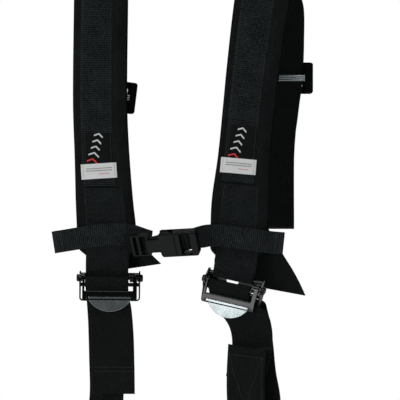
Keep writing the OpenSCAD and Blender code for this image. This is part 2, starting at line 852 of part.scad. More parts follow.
pad(LEFT);  // left_pad
pad_facing(LEFT);  // left_pad_facing
pad_base(LEFT);  // left_pad_base
patch(LEFT);  // left_patch
label_strip(LEFT);  // left_label
adjuster_webbing(LEFT);  // left_adjuster_webbing
rear_webbing(LEFT);  // left_rear_webbing
web_tail(LEFT);  // left_web_tail
rear_slide(LEFT);  // left_rear_slide
slide_bar(LEFT);  // left_slide_bar
adjuster_frame(LEFT);  // left_adjuster_frame
loop_bar(LEFT);  // left_loop_bar
friction_bar(LEFT);  // left_friction_bar
rivets(LEFT);  // left_rivets
release_yoke(LEFT);  // left_release_yoke
release_tab(LEFT);  // left_release_tab
lower_webbing(LEFT);  // left_lower_webbing
sternum_loop(LEFT);  // left_sternum_loop
pad(RIGHT);  // right_pad
pad_facing(RIGHT);  // right_pad_facing
pad_base(RIGHT);  // right_pad_base
patch(RIGHT);  // right_patch
label_strip(RIGHT);  // right_label
adjuster_webbing(RIGHT);  // right_adjuster_webbing
rear_webbing(RIGHT);  // right_rear_webbing
web_tail(RIGHT);  // right_web_tail
rear_slide(RIGHT);  // right_rear_slide
slide_bar(RIGHT);  // right_slide_bar
adjuster_frame(RIGHT);  // right_adjuster_frame
loop_bar(RIGHT);  // right_loop_bar
friction_bar(RIGHT);  // right_friction_bar
rivets(RIGHT);  // right_rivets
release_yoke(RIGHT);  // right_release_yoke
release_tab(RIGHT);  // right_release_tab
lower_webbing(RIGHT);  // right_lower_webbing
sternum_loop(RIGHT);  // right_sternum_loop
buckle_plug();
buckle_prong(1);  // buckle_prong_top
buckle_prong(-1);  // buckle_prong_bottom
buckle_socket();
lap_tongue();
lap_latch_plate();
lap_latch_cover();
lap_latch_lever();
lap_latch_pin();
lap_webbing(LEFT);  // left_lap_webbing
lap_webbing(RIGHT);  // right_lap_webbing
lap_slide(LEFT);  // left_lap_slide
lap_slide(RIGHT);  // right_lap_slide
anchor_plate(LEFT);  // left_anchor_plate
anchor_plate(RIGHT);  // right_anchor_plate
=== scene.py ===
"""Four-point racing harness round its CAD frame: webbing, pads, plates, stitching and materials."""
import json
import math

import bpy
import bmesh
from mathutils import Matrix, Vector, noise


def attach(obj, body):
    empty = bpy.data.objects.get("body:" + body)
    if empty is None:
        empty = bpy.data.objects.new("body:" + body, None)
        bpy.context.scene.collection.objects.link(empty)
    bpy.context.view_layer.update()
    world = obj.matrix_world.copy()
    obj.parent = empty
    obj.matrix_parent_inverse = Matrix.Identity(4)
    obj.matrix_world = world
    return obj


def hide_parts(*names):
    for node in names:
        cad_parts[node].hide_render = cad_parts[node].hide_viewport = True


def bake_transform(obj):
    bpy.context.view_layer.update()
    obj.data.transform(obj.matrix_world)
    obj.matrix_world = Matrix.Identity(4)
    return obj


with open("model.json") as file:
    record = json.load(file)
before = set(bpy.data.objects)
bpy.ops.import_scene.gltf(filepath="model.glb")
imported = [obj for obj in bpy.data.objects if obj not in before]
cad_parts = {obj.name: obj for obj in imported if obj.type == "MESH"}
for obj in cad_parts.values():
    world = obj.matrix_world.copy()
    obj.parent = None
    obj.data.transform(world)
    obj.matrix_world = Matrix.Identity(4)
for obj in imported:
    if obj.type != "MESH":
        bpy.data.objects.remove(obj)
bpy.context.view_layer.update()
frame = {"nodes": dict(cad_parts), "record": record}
SCENE = bpy.context.scene
MM = 0.001
SIDES = ("left", "right")


def rad(*angles):
    return [math.radians(a) for a in angles]


# ---------------------------------------------------------------- camera and light

def build_camera():
    data = bpy.data.cameras.new("camera")
    data.sensor_width = 36
    data.lens = 36 * 4.0 / 0.46
    data.clip_end = 50
    camera = bpy.data.objects.new("camera", data)
    camera.location = (0.0368, -4.042, -0.290)
    camera.rotation_euler = rad(90, 0, 0)
    SCENE.collection.objects.link(camera)
    SCENE.camera = camera


def build_light():
    SCENE.view_settings.view_transform = "Standard"
    world = bpy.data.worlds.new("studio")
    world.use_nodes = True
    SCENE.world = world
    nodes, links = world.node_tree.nodes, world.node_tree.links
    room = nodes["Background"]
    room.inputs["Color"].default_value = (0.94, 1, 1, 1)
    room.inputs["Strength"].default_value = 0.05
    seen = nodes.new("ShaderNodeBackground")
    seen.inputs["Color"].default_value = (1, 1, 1, 1)
    path = nodes.new("ShaderNodeLightPath")
    mix = nodes.new("ShaderNodeMixShader")
    links.new(path.outputs["Is Camera Ray"], mix.inputs["Fac"])
    links.new(room.outputs["Background"], mix.inputs[1])
    links.new(seen.outputs["Background"], mix.inputs[2])
    links.new(mix.outputs["Shader"], nodes["World Output"].inputs["Surface"])
    lamps = (
        ("key", (-1.65, -2.4, 0.15), 1.1, 27),
        ("fill", (2.0, -1.2, 0.2), 1.0, 7),
        ("top", (-0.2, -0.7, 2.2), 1.0, 17),
        ("back", (0.3, 1.9, 0.7), 1.2, 14),
    )
    for name, place, size, power in lamps:
        data = bpy.data.lights.new(name, "AREA")
        data.energy = power
        data.size = size
        lamp = bpy.data.objects.new(name, data)
        lamp.location = place
        aim = Vector((0.02, 0, -0.3)) - Vector(place)
        lamp.rotation_euler = aim.to_track_quat("-Z", "Y").to_euler()
        SCENE.collection.objects.link(lamp)


# ---------------------------------------------------------------- materials

class Shader:
    """Small helper that keeps a material's nodes short to write."""

    def __init__(self, name, roughness, metallic=0.0, specular=0.5):
        self.material = bpy.data.materials.new(name)
        self.material.use_nodes = True
        self.nodes = self.material.node_tree.nodes
        self.links = self.material.node_tree.links
        self.bsdf = self.nodes["Principled BSDF"]
        self.set("Roughness", roughness)
        self.set("Metallic", metallic)
        self.set("Specular IOR Level", specular)

    def set(self, socket, value):
        self.bsdf.inputs[socket].default_value = value

    def node(self, kind, **inputs):
        made = self.nodes.new("ShaderNode" + kind)
        for key, value in inputs.items():
            socket = made.inputs[int(key[1:])] if key[0] == "i" and key[1:].isdigit() else made.inputs[key]
            if hasattr(value, "is_output"):
                self.links.new(value, socket)
            else:
                socket.default_value = value
        return made

    def math(self, operation, a, b=0.0):
        made = self.node("Math", i0=a, i1=b)
        made.operation = operation
        return made.outputs[0]

    def ripple(self, value, pitch):
        """A wave from 0 to 1 along a value in millimetres."""
        angle = self.math("MULTIPLY", value, 2 * math.pi / pitch)
        out = self.math("MULTIPLY_ADD", self.math("SINE", angle), 0.5)
        out.node.inputs[2].default_value = 0.5
        return out

    def noise(self, scale, detail=3.0, vector=None):
        made = self.node("TexNoise", Scale=scale, Detail=detail)
        source = vector or self.node("TexCoord").outputs["Object"]
        self.links.new(source, made.inputs["Vector"])
        return made.outputs["Fac"]

    def ramp(self, value, *stops):
        made = self.node("ValToRGB", Fac=value)
        elements = made.color_ramp.elements
        for index, (place, colour) in enumerate(stops):
            element = elements[index] if index < 2 else elements.new(place)
            element.position = place
            element.color = (*colour, 1)
        return made.outputs["Color"]

    def bump(self, height, depth, below=None):
        made = self.node("Bump", Height=height, Strength=1.0, Distance=depth)
        if below is not None:
            self.links.new(below, made.inputs["Normal"])
        return made.outputs["Normal"]

    def colour(self, output):
        self.links.new(output, self.bsdf.inputs["Base Color"])

    def normal(self, output):
        self.links.new(output, self.bsdf.inputs["Normal"])

    def link(self, socket, output):
        self.links.new(output, self.bsdf.inputs[socket])


def grey(level, cool=0.16):
    """A dark cloth tone, a little cooler than neutral."""
    return (level * (1 - cool), level * (1 + 0.6 * cool), level * (1 + cool))


def woven(name, dark, light, along, over, depth, twill=0.0, roughness=0.8, sheen=0.02):
    """Webbing whose ribs follow the strap: along and over are the pitches in millimetres."""
    s = Shader(name, roughness, specular=0.14)
    s.set("Sheen Weight", sheen)
    s.set("Sheen Roughness", 0.4)
    place = s.node("SeparateXYZ", Vector=s.node("Attribute").outputs["Vector"])
    place.inputs["Vector"].links[0].from_node.attribute_name = "weave"
    across, run = place.outputs["X"], place.outputs["Y"]
    lean = s.math("MULTIPLY", s.math("PINGPONG", across, 3.2), twill)
    ribs = s.ripple(s.math("ADD", run, lean), along)
    warp = s.ripple(across, over)
    cloth = s.math("ADD", s.math("MULTIPLY", ribs, 0.62), s.math("MULTIPLY", warp, 0.38))
    patchy = s.noise(60, 4)
    fuzz = s.noise(520, 2)
    # The ribs are painted lighter on their tops and darker in the grooves between them: painted highlight and
    # shade. The patchy and fuzz noise are random tone.
    tone = s.math("ADD", s.math("MULTIPLY", cloth, 0.42), s.math("MULTIPLY", patchy, 0.25))
    tone = s.math("ADD", tone, s.math("MULTIPLY", fuzz, 0.55))
    s.colour(s.ramp(tone, (0.46, dark), (0.82, light)))
    s.normal(s.bump(fuzz, 0.0003, s.bump(cloth, depth)))
    return s.material


def knit(name, dark, light, roughness=0.8):
    """Smooth cover cloth with a fine grain and soft creases."""
    s = Shader(name, roughness, specular=0.14)
    s.set("Sheen Weight", 0.02)
    s.set("Sheen Roughness", 0.35)
    grain = s.noise(600, 2)
    crease = s.noise(38, 4)
    # The colour follows the crease relief, so the creases' hollows are painted darker: painted shade over a random
    # grain.
    tone = s.math("ADD", s.math("MULTIPLY", grain, 0.6), s.math("MULTIPLY", crease, 0.4))
    s.colour(s.ramp(tone, (0.36, dark), (0.68, light)))
    s.normal(s.bump(grain, 0.00012, s.bump(crease, 0.0009)))
    return s.material


def metal(name, dark, light, roughness, metallic, grain=(1, 1, 1), specular=0.5, coat=0.0):
    """Plated steel: fine scratches, and duller patches where hands and webbing rub."""
    s = Shader(name, roughness, metallic, specular)
    s.set("Coat Weight", coat)
    s.set("Coat Roughness", 0.25)
    place = s.node("Mapping", Vector=s.node("TexCoord").outputs["Object"], Scale=grain)
    scratch = s.noise(700, 4, place.outputs["Vector"])
    rub = s.noise(70, 4)
    s.colour(s.ramp(s.math("ADD", s.math("MULTIPLY", scratch, 0.4), s.math("MULTIPLY", rub, 0.6)),
                    (0.3, dark), (0.7, light)))
    rough = s.node("MapRange", Value=rub)
    rough.inputs["To Min"].default_value = roughness - 0.03
    rough.inputs["To Max"].default_value = roughness + 0.05
    s.link("Roughness", rough.outputs["Result"])
    s.normal(s.bump(scratch, 0.000004))
    return s.material


def plastic(name, dark, light):
    s = Shader(name, 0.38, specular=0.22)
    grain = s.noise(1600, 2)
    flow = s.noise(60, 3)
    s.colour(s.ramp(s.math("ADD", s.math("MULTIPLY", grain, 0.4), s.math("MULTIPLY", flow, 0.6)),
                    (0.3, dark), (0.7, light)))
    s.normal(s.bump(grain, 0.00005, s.bump(flow, 0.0002)))
    return s.material


def thread(name, dark, light):
    """Sewing and embroidery thread: a twist along each stitch and a soft shine."""
    s = Shader(name, 0.55, specular=0.4)
    s.set("Sheen Weight", 0.2)
    fibre = s.noise(2600, 2)
    s.colour(s.ramp(fibre, (0.3, dark), (0.7, light)))
    s.normal(s.bump(fibre, 0.00008))
    return s.material


def label_cloth(name):
    """Off-white satin label with faint woven lines."""
    s = Shader(name, 0.6, specular=0.35)
    place = s.node("SeparateXYZ", Vector=s.node("TexCoord").outputs["Object"])
    height = s.math("MULTIPLY", place.outputs["Z"], 1000)
    lines = s.ripple(height, 0.9)
    fibre = s.noise(1500, 2)
    s.colour(s.ramp(s.math("ADD", s.math("MULTIPLY", lines, 0.4), s.math("MULTIPLY", fibre, 0.6)),
                    (0.2, (0.62, 0.64, 0.64)), (0.75, (0.86, 0.87, 0.87))))
    s.normal(s.bump(s.math("ADD", lines, fibre), 0.00008))
    return s.material


def build_materials():
    return {
        "webbing": woven("webbing", grey(0.0003), grey(0.022), 1.15, 1.7, 0.0008, 0.45),
        # lower_webbing is the webbing above painted darker: painted shade on the lower and lap straps.
        "lower_webbing": woven("lower_webbing", grey(0.0003), grey(0.014), 1.15, 1.7, 0.0008, 0.45),
        # rear_webbing is the same webbing painted darker still: painted shade on the rear straps, the free ends
        # and the strap end behind the plug.
        "rear_webbing": woven("rear_webbing", grey(0.0008), grey(0.012), 1.15, 1.7, 0.0005, 0.45),
        "sternum_webbing": woven("sternum_webbing", grey(0.0005), grey(0.036), 2.3, 1.15, 0.001),
        "facing": woven("facing", grey(0.0005), grey(0.036), 2.1, 1.9, 0.001),
        "base_webbing": woven("base_webbing", grey(0.0003), grey(0.024), 1.4, 2.3, 0.001),
        "pad_cloth": knit("pad_cloth", grey(0.0006), grey(0.009)),
        "patch_cloth": knit("patch_cloth", grey(0.001), grey(0.0065)),
        "label_cloth": label_cloth("label_cloth"),
        "stitch": thread("stitch", grey(0.006), grey(0.026)),
        "seam_thread": thread("seam_thread", grey(0.015), grey(0.07)),
        "white_thread": thread("white_thread", (0.6, 0.62, 0.62), (0.85, 0.86, 0.86)),
        "red_thread": thread("red_thread", (0.6, 0.03, 0.02), (0.85, 0.07, 0.05)),
        "grey_thread": thread("grey_thread", (0.16, 0.17, 0.17), (0.3, 0.31, 0.31)),
        "black_steel": metal("black_steel", grey(0.0006), grey(0.003), 0.2, 0.0, (1, 6, 1), 0.3, 0.0),
        "zinc_steel": metal("zinc_steel", (0.3, 0.34, 0.35), (0.42, 0.47, 0.48), 0.2, 0.97, (1, 1, 9)),
        "black_plastic": plastic("black_plastic", grey(0.0008), grey(0.006)),
    }


# ---------------------------------------------------------------- straps as stations

def cross_vector(half, roll=0.0, yaw=0.0):
    """Half-width vector: roll lowers the right end, yaw brings it forward."""
    r, w = rad(roll, yaw)
    return Vector((math.cos(r) * math.cos(w), -math.cos(r) * math.sin(w), -math.sin(r))) * half


def station(x, y, z, half, roll=0.0, yaw=0.0):
    """A middle point and a half-width vector, in millimetres."""
    return (Vector((x, y, z)), cross_vector(half, roll, yaw))


def smooth(stations, step):
    """Catmull-Rom run through the stations, with a station about every step millimetres."""
    out = []
    last = len(stations) - 1
    for i in range(last):
        a, b, c, d = (stations[max(i - 1, 0)], stations[i], stations[i + 1], stations[min(i + 2, last)])
        count = max(1, math.ceil((c[0] - b[0]).length / step))
        for k in range(count):
            t = k / count
            out.append(tuple(
                0.5 * (2 * b[j] + (c[j] - a[j]) * t + (2 * a[j] - 5 * b[j] + 4 * c[j] - d[j]) * t * t
                       + (3 * b[j] - a[j] - 3 * c[j] + d[j]) * t * t * t)
                for j in (0, 1)
            ))
    out.append(stations[last])
    return out


def wrap(p, radius, a0, a1, half, roll, yaw, steps=16):
    """Turn of a strap round a bar: 0 degrees is behind the bar and 90 above it."""
    r, w = rad(roll, yaw)
    back = Vector((math.sin(w), math.cos(w), 0))
    up = Vector((math.sin(r) * math.cos(w), -math.sin(r) * math.sin(w), math.cos(r)))
    out = []
    for k in range(steps + 1):
        a = math.radians(a0 + (a1 - a0) * k / steps)
        out.append((Vector(p) + back * radius * math.cos(a) + up * radius * math.sin(a),
                    cross_vector(half, roll, yaw)))
    return out


def normals(stations):
    out = []
    last = len(stations) - 1
    for i, (_, across) in enumerate(stations):
        run = stations[min(i + 1, last)][0] - stations[max(i - 1, 0)][0]
        out.append(across.cross(run).normalized())
    return out


def lengths(stations):
    out = [0.0]
    for a, b in zip(stations, stations[1:]):
        out.append(out[-1] + (b[0] - a[0]).length)
    return out


def link(name, mesh, material):
    mesh.materials.append(material)
    for face in mesh.polygons:
        face.use_smooth = True
    piece = bpy.data.objects.new(name, mesh)
    SCENE.collection.objects.link(piece)
    return piece


def sweep(name, stations, profile, material):
    """Closed solid along the stations. profile(half, s) gives the section as (across, up, side) rows."""
    runs = lengths(stations)
    ups = normals(stations)
    points, weave, faces = [], [], []
    for (centre, across), up, s in zip(stations, ups, runs):
        half = across.length
        rows = profile(half, s)
        count = len(rows)
        for a, v, side in rows:
            points.append((centre + across * (a / half) + up * v) * MM)
            weave.append((a, s, side))
    rings = len(stations)
    for i in range(rings - 1):
        for k in range(count):
            a, b = i * count + k, i * count + (k + 1) % count
            faces.append((a, b, b + count, a + count))
    faces.append(tuple(range(count - 1, -1, -1)))
    faces.append(tuple((rings - 1) * count + k for k in range(count)))
    mesh = bpy.data.meshes.new(name)
    mesh.from_pydata(points, [], faces)
    mesh.update()
    layer = mesh.attributes.new("weave", "FLOAT_VECTOR", "POINT")
    layer.data.foreach_set("vector", [x for row in weave for x in row])
    piece = link(name, mesh, material)
    mark_creases(mesh, 50)
    return piece


def mark_creases(mesh, angle):
    bm = bmesh.new()
    bm.from_mesh(mesh)
    bmesh.ops.recalc_face_normals(bm, faces=bm.faces)
    for edge in bm.edges:
        if len(edge.link_faces) == 2 and edge.calc_face_angle(0) > math.radians(angle):
            edge.smooth = False
    bm.to_mesh(mesh)
    bm.free()


def web_profile(thickness, rib=0.0, pitch=2.3):
    """Section of a strap: a flat middle, a thicker selvedge and round edges."""
    def section(half, s):
        edge = thickness * 0.5
        inner = half - edge
        lift = rib * math.cos(2 * math.pi * s / pitch)
        shares = [-1, -0.96, -0.9, -0.84, -0.6, -0.3, 0, 0.3, 0.6, 0.84, 0.9, 0.96, 1]
        rows = []
        for side in (1, -1):
            for q in shares:
                a = q * inner * side
                selvedge = 0.12 if abs(q) > 0.92 else (-0.06 if abs(q) > 0.86 else 0.0)
                rows.append((a, side * (thickness / 2 + selvedge + lift * (1 - q ** 8)), side))
            for turn in (50, 90, 130):
                c, w = math.cos(math.radians(turn)), math.sin(math.radians(turn))
                rows.append((side * (inner + edge * w), side * c * thickness / 2, 0))
        return rows
    return section


def strap(name, stations, thickness, material, wave=0.25, rib=0.0, seed=0.0):
    """A webbing strap with the slight ripple that real webbing keeps."""
    runs = lengths(stations)
    ups = normals(stations)
    rippled = []
    for (centre, across), up, s in zip(stations, ups, runs):
        ease = min(1.0, s / 25, (runs[-1] - s) / 25 + 0.2)
        drift = noise.noise(Vector((s / 34, seed, 0))) * wave * ease
        tilt = noise.noise(Vector((s / 48, seed, 7))) * wave * ease / 24
        rippled.append((centre + up * drift, across + up * tilt * across.length))
    return sweep(name, rippled, web_profile(thickness, rib), material)


# ---------------------------------------------------------------- stitching

def stitches(name, rows, material, pitch=3.3, length=2.3, radius=0.3):
    """Stitches along each row, which is a list of (point, normal) in millimetres."""
    bm = bmesh.new()
    for row in rows:
        s, target = 0.0, pitch / 2
        for (p, n), (q, _) in zip(row, row[1:]):
            step = (q - p).length
            while step > 0 and s + step >= target:
                at = p + (q - p) * ((target - s) / step)
                add_stitch(bm, at, (q - p).normalized(), n, length, radius)
                target += pitch
            s += step
    mesh = bpy.data.meshes.new(name)
    bm.to_mesh(mesh)
    bm.free()
    return link(name, mesh, material)


# Rings of a stitch, as share of its length, share of its radius and lift in radii
STITCH_RINGS = ((-0.5, 0.35, -0.5), (-0.3, 0.9, 0.1), (0, 1.05, 0.35), (0.3, 0.9, 0.1), (0.5, 0.35, -0.5))


def add_stitch(bm, at, along, up, length, radius):
    """One capsule that dips into the cloth at both ends."""
    side = along.cross(up).normalized()
    rings = []
    for share, size, lift in STITCH_RINGS:
        centre = at + along * (share * length) + up * (lift * radius)
        ring = []
        for k in range(6):
            a = k * math.pi / 3
            offset = side * math.cos(a) + up * math.sin(a)
            ring.append(bm.verts.new((centre + offset * (radius * size)) * MM))
        rings.append(ring)
    for a, b in zip(rings, rings[1:]):
        for k in range(6):
            bm.faces.new((a[k], a[(k + 1) % 6], b[(k + 1) % 6], b[k]))
    bm.faces.new(rings[0][::-1])
    bm.faces.new(rings[-1])


def row_on(stations, across, up):
    """A stitch row along a strap: across in millimetres from its middle, up from its middle layer."""
    out = []
    for (centre, half), n in zip(stations, normals(stations)):
        out.append((centre + half.normalized() * across + n * up, n if up > 0 else -n))
    return out


def row_across(stations, s, reach, up, sign=1):
    """A stitch row across a strap at s millimetres along it."""
    runs = lengths(stations)
    i = min(range(len(runs)), key=lambda k: abs(runs[k] - s))
    centre, half = stations[i]
    n = normals(stations)[i] * sign
    steps = 12
    unit = half.normalized()
    return [(centre + unit * (reach * (2 * k / steps - 1)) + n * up, n) for k in range(steps + 1)]


# ---------------------------------------------------------------- the frame's bodies

BODY_OF = {
    node: body
    for body, nodes in frame["record"]["behaviour"]["bodies"].items()
    for node in nodes
}


def put(piece, body, slot, *stands_for):
    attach(piece, body)
    if stands_for:
        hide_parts(*stands_for)
    return piece


# ---------------------------------------------------------------- driving places, as in the CAD frame

HALF = 24.5
WEB_T = 2.0
PAD_T = 12
CREST_R = 36
FRONT_Y = -CREST_R
CREST_Z = PAD_T / 2 - CREST_R

# Front run of each pad from its bottom end up, as x, z and half width
PAD_FRONT = {
    "left": ((-68.5, -362, 23), (-70, -352, 31), (-71, -340, 34.5), (-71.3, -319, 34.9), (-73.4, -290, 34),
             (-76, -240, 32.6), (-78.2, -186, 32.2), (-78.2, -140, 32.2), (-77.5, -85, 32.2), (-77, -45, 32.2)),
    "right": ((78.5, -362, 23), (80, -352, 31), (81.5, -340, 33.5), (82.1, -319, 34.1), (83.4, -290, 33.9),
              (88, -240, 31.4), (93, -186, 31), (98, -140, 31.6), (105, -85, 32.6), (110.5, -45, 33)),
}
PAD_BACK_X = {"left": -74, "right": 122}
PAD_LEAN = {"left": 0, "right": 6}
FACING_SPLIT = {"left": -274, "right": -270}
FACING_EDGES = {"left": (-0.7, 0.42), "right": (-0.73, 0.42)}
BASE_EDGES = {"left": (-0.69, 0.68), "right": (-0.66, 0.6)}
BASE_LOW = -339.5
PATCH_Z = {"left": (-266, -211), "right": (-261, -203)}


def pad_rows(side):
    rows = [
        station(x, FRONT_Y, z, half, PAD_LEAN[side] if z > -300 else 0)
        for x, z, half in PAD_FRONT[side]
    ]
    start_x = PAD_FRONT[side][-1][0]
    for a in range(0, 181, 15):
        x = start_x + (PAD_BACK_X[side] - start_x) * a / 180
        c, s = math.cos(math.radians(a)), math.sin(math.radians(a))
        rows.append(station(x, -CREST_R * c, CREST_Z + CREST_R * s, 32.5))
    rows.append(station(PAD_BACK_X[side], CREST_R, CREST_Z - 14, 31))
    return rows


def pad_run(side, step):
    return smooth(pad_rows(side), step)


def front_between(run, low, high):
    """The stations of a pad's front run between two heights."""
    return [s for s in run if s[0].y < FRONT_Y + 0.1 and low <= s[0].z <= high]


def above(run, low):
    """The pad's run from a height on its front up and over the crest."""
    start = next(i for i, s in enumerate(run) if s[0].z >= low)
    return run[start:]


# ---------------------------------------------------------------- shoulder pads

PAD_SKIN = 4.9
SEAM_SHARES = (-0.79, 0.51)
# How far the margins fall away beside the facing
MARGIN_FALL = 4.0


def pad_section(half, s):
    """Rounded oblong, a little slimmer than the pad so that it can swell."""
    rows = []
    for k in range(32):
        a = 2 * math.pi * k / 32
        c, w = math.cos(a), math.sin(a)
        across = math.copysign(abs(c) ** 0.42, c) * (half + 0.9)
        up = math.copysign(abs(w) ** 0.62, w) * PAD_SKIN
        rows.append((-across, up, 0))
    return rows[::-1]


class PadPlaces:
    """Finds where a point lies on a pad: its share of the half width and its height off the middle."""

    def __init__(self, side):
        run = pad_run(side, 2)
        crest = next(i for i, s in enumerate(run) if s[0].y > FRONT_Y + 0.05)
        self.front = run[:crest]
        self.start_x = PAD_FRONT[side][-1][0]
        self.back_x = PAD_BACK_X[side]

    def at_height(self, z):
        front = self.front
        if z <= front[0][0].z:
            return front[0]
        if z >= front[-1][0].z:
            return front[-1]
        low, high = 0, len(front) - 1
        while high - low > 1:
            middle = (low + high) // 2
            if front[middle][0].z <= z:
                low = middle
            else:
                high = middle
        a, b = front[low], front[high]
        t = (z - a[0].z) / max(b[0].z - a[0].z, 1e-6)
        return (a[0].lerp(b[0], t), a[1].lerp(b[1], t))

    def find(self, p):
        """(share, up, half, outward normal, run in millimetres) of a point in millimetres."""
        if p.z < CREST_Z and p.y < 0:
            z = p.z
            for _ in range(3):
                centre, across = self.at_height(z)
                share = (p.x - centre.x) / across.x
                z = p.z - share * across.z
            return share, FRONT_Y - p.y, across.length, Vector((0, -1, 0)), z
        if p.z < CREST_Z:
            return (p.x - self.back_x) / 31, p.y - CREST_R, 31, Vector((0, 1, 0)), 2 * CREST_Z - p.z + 113
        a = math.atan2(p.z - CREST_Z, -p.y)
        x = self.start_x + (self.back_x - self.start_x) * a / math.pi
        out = Vector((0, -math.cos(a), math.sin(a)))
        return (p.x - x) / 32.5, math.hypot(p.y, p.z - CREST_Z) - CREST_R, 32.5, out, CREST_Z + CREST_R * a


def swell(piece, pressure, cap):
    """Cloth pressure fills the closed shape; no point moves further than cap."""
    rest = [v.co.copy() for v in piece.data.vertices]
    cloth = piece.modifiers.new("cloth", "CLOTH")
    cloth.settings.use_pressure = True
    cloth.settings.uniform_pressure_force = pressure
    cloth.settings.effector_weights.gravity = 0
    cloth.settings.quality = 4
    cloth.point_cache.frame_start = 1
    cloth.point_cache.frame_end = 20
    for step in range(1, 21):
        SCENE.frame_set(step)
    shaped = piece.evaluated_get(bpy.context.evaluated_depsgraph_get()).to_mesh()
    moved = [v.co.copy() for v in shaped.vertices]
    piece.modifiers.remove(cloth)
    SCENE.frame_set(1)
    for vertex, old, new in zip(piece.data.vertices, rest, moved):
        step = new - old
        if step.length > cap:
            step *= cap / step.length
        vertex.co = old + step
    piece.data.update()


def apply_modifiers(piece):
    graph = bpy.context.evaluated_depsgraph_get()
    graph.update()
    mesh = bpy.data.meshes.new_from_object(piece.evaluated_get(graph))
    old = piece.data
    piece.modifiers.clear()
    piece.data = mesh
    bpy.data.meshes.remove(old)


def relax(piece, rounds, amount):
    smoother = piece.modifiers.new("smooth", "SMOOTH")
    smoother.iterations = rounds
    smoother.factor = amount
    apply_modifiers(piece)


def subdivide(piece, levels):
    finer = piece.modifiers.new("finer", "SUBSURF")
    finer.levels = levels
    finer.render_levels = levels
    apply_modifiers(piece)


def build_pad(side, materials):
    name = f"{side}_shoulder_pad"
    run = pad_run(side, 4.5)
    # Both ends draw in, so that the pad closes like a cushion
    slim = []
    runs = lengths(run)
    for (centre, across), s in zip(run, runs):
        ease = min(1.0, 0.72 + 0.28 * min(s, runs[-1] - s) / 14)
        slim.append((centre, across * ease))
    pad = sweep(name, slim, pad_section, materials["pad_cloth"])
    swell(pad, 4.0, 1.7 * MM)
    relax(pad, 1, 0.4)
    subdivide(pad, 2)
    sew_pad(pad, side)
    for face in pad.data.polygons:
        face.use_smooth = True
    return put(pad, "root", "pad_cloth", f"{side}_pad")


def sew_pad(pad, side):
    """Pulls the pad in at its seams and keeps it under the facing, and adds soft creases."""
    places = PadPlaces(side)
    u0, u1 = FACING_EDGES[side]
    for vertex in pad.data.vertices:
        p = vertex.co / MM
        share, up, half, out, run = places.find(p)
        pull = 0.0
        if up > 0:
            for seam in SEAM_SHARES:
                pull -= 1.5 * math.exp(-(((share - seam) * half / 1.5) ** 2))
            crease = noise.noise(Vector((share * 2.2, run / 26, 3)))
            pull += 0.45 * crease - MARGIN_FALL * max(0.0, (abs(share + 0.14) - 0.62) / 0.5) ** 1.4
            if u0 - 0.03 < share < u1 + 0.03:
                pull = min(pull, 5.3 - up)
        else:
            pull -= 0.35 * noise.noise(Vector((share * 3, run / 22, 9)))
        vertex.co = (p + out * pull) * MM
    pad.data.update()


FACING_RIB = 2.1


def panel_section(edges, low, top, crown, rib=0.0, pitch=FACING_RIB):
    """A flat panel sewn on the pad's front, a little fuller along its middle."""
    u0, u1 = edges

    def section(half, s):
        middle, reach = (u0 + u1) / 2 * half, (u1 - u0) / 2 * half
        lift = rib * math.cos(2 * math.pi * s / pitch)
        rows = []
        for q in (-1, -0.97, -0.9, -0.75, -0.5, -0.25, 0, 0.25, 0.5, 0.75, 0.9, 0.97, 1):
            edge = 0.45 if abs(q) == 1 else (0.12 if abs(q) > 0.95 else 0.0)
            up = top + crown * (1 - q * q) + lift * (1 - q ** 8) - edge
            rows.append((middle + q * reach, up, 1))
        rows.append((middle + reach, low, 0))
        rows.append((middle - reach, low, 0))
        return rows
    return section


def build_pad_cover(side, materials):
    """Facing, base panel, patch and label on the front of a pad, with their stitching."""
    fine = pad_run(side, FACING_RIB / 6)
    plain = pad_run(side, 2)
    split = FACING_SPLIT[side]
    facing = sweep(f"{side}_ribbed_facing", above(fine, split)[:-8],
                   panel_section(FACING_EDGES[side], 4.4, 6.0, 1.3, 0.26), materials["facing"])
    put(facing, "root", "facing_web", f"{side}_pad_facing")
    base = sweep(f"{side}_base_panel", front_between(plain, BASE_LOW, split - 1),
                 panel_section(BASE_EDGES[side], 4.4, 5.9, 0.7), materials["base_webbing"])
    put(base, "root", "webbing", f"{side}_pad_base")
    low, high = PATCH_Z[side]
    u0, u1 = FACING_EDGES[side]
    patch = sweep(f"{side}_woven_patch", front_between(plain, low, high),
                  panel_section((u0 + 0.05, u1 - 0.03), 6.0, 6.7, 1.2), materials["patch_cloth"])
    put(patch, "root", "patch_cloth", f"{side}_patch")
    build_label(side, materials)
    build_emblem(side, materials)
    sew_cover(side, plain, materials)


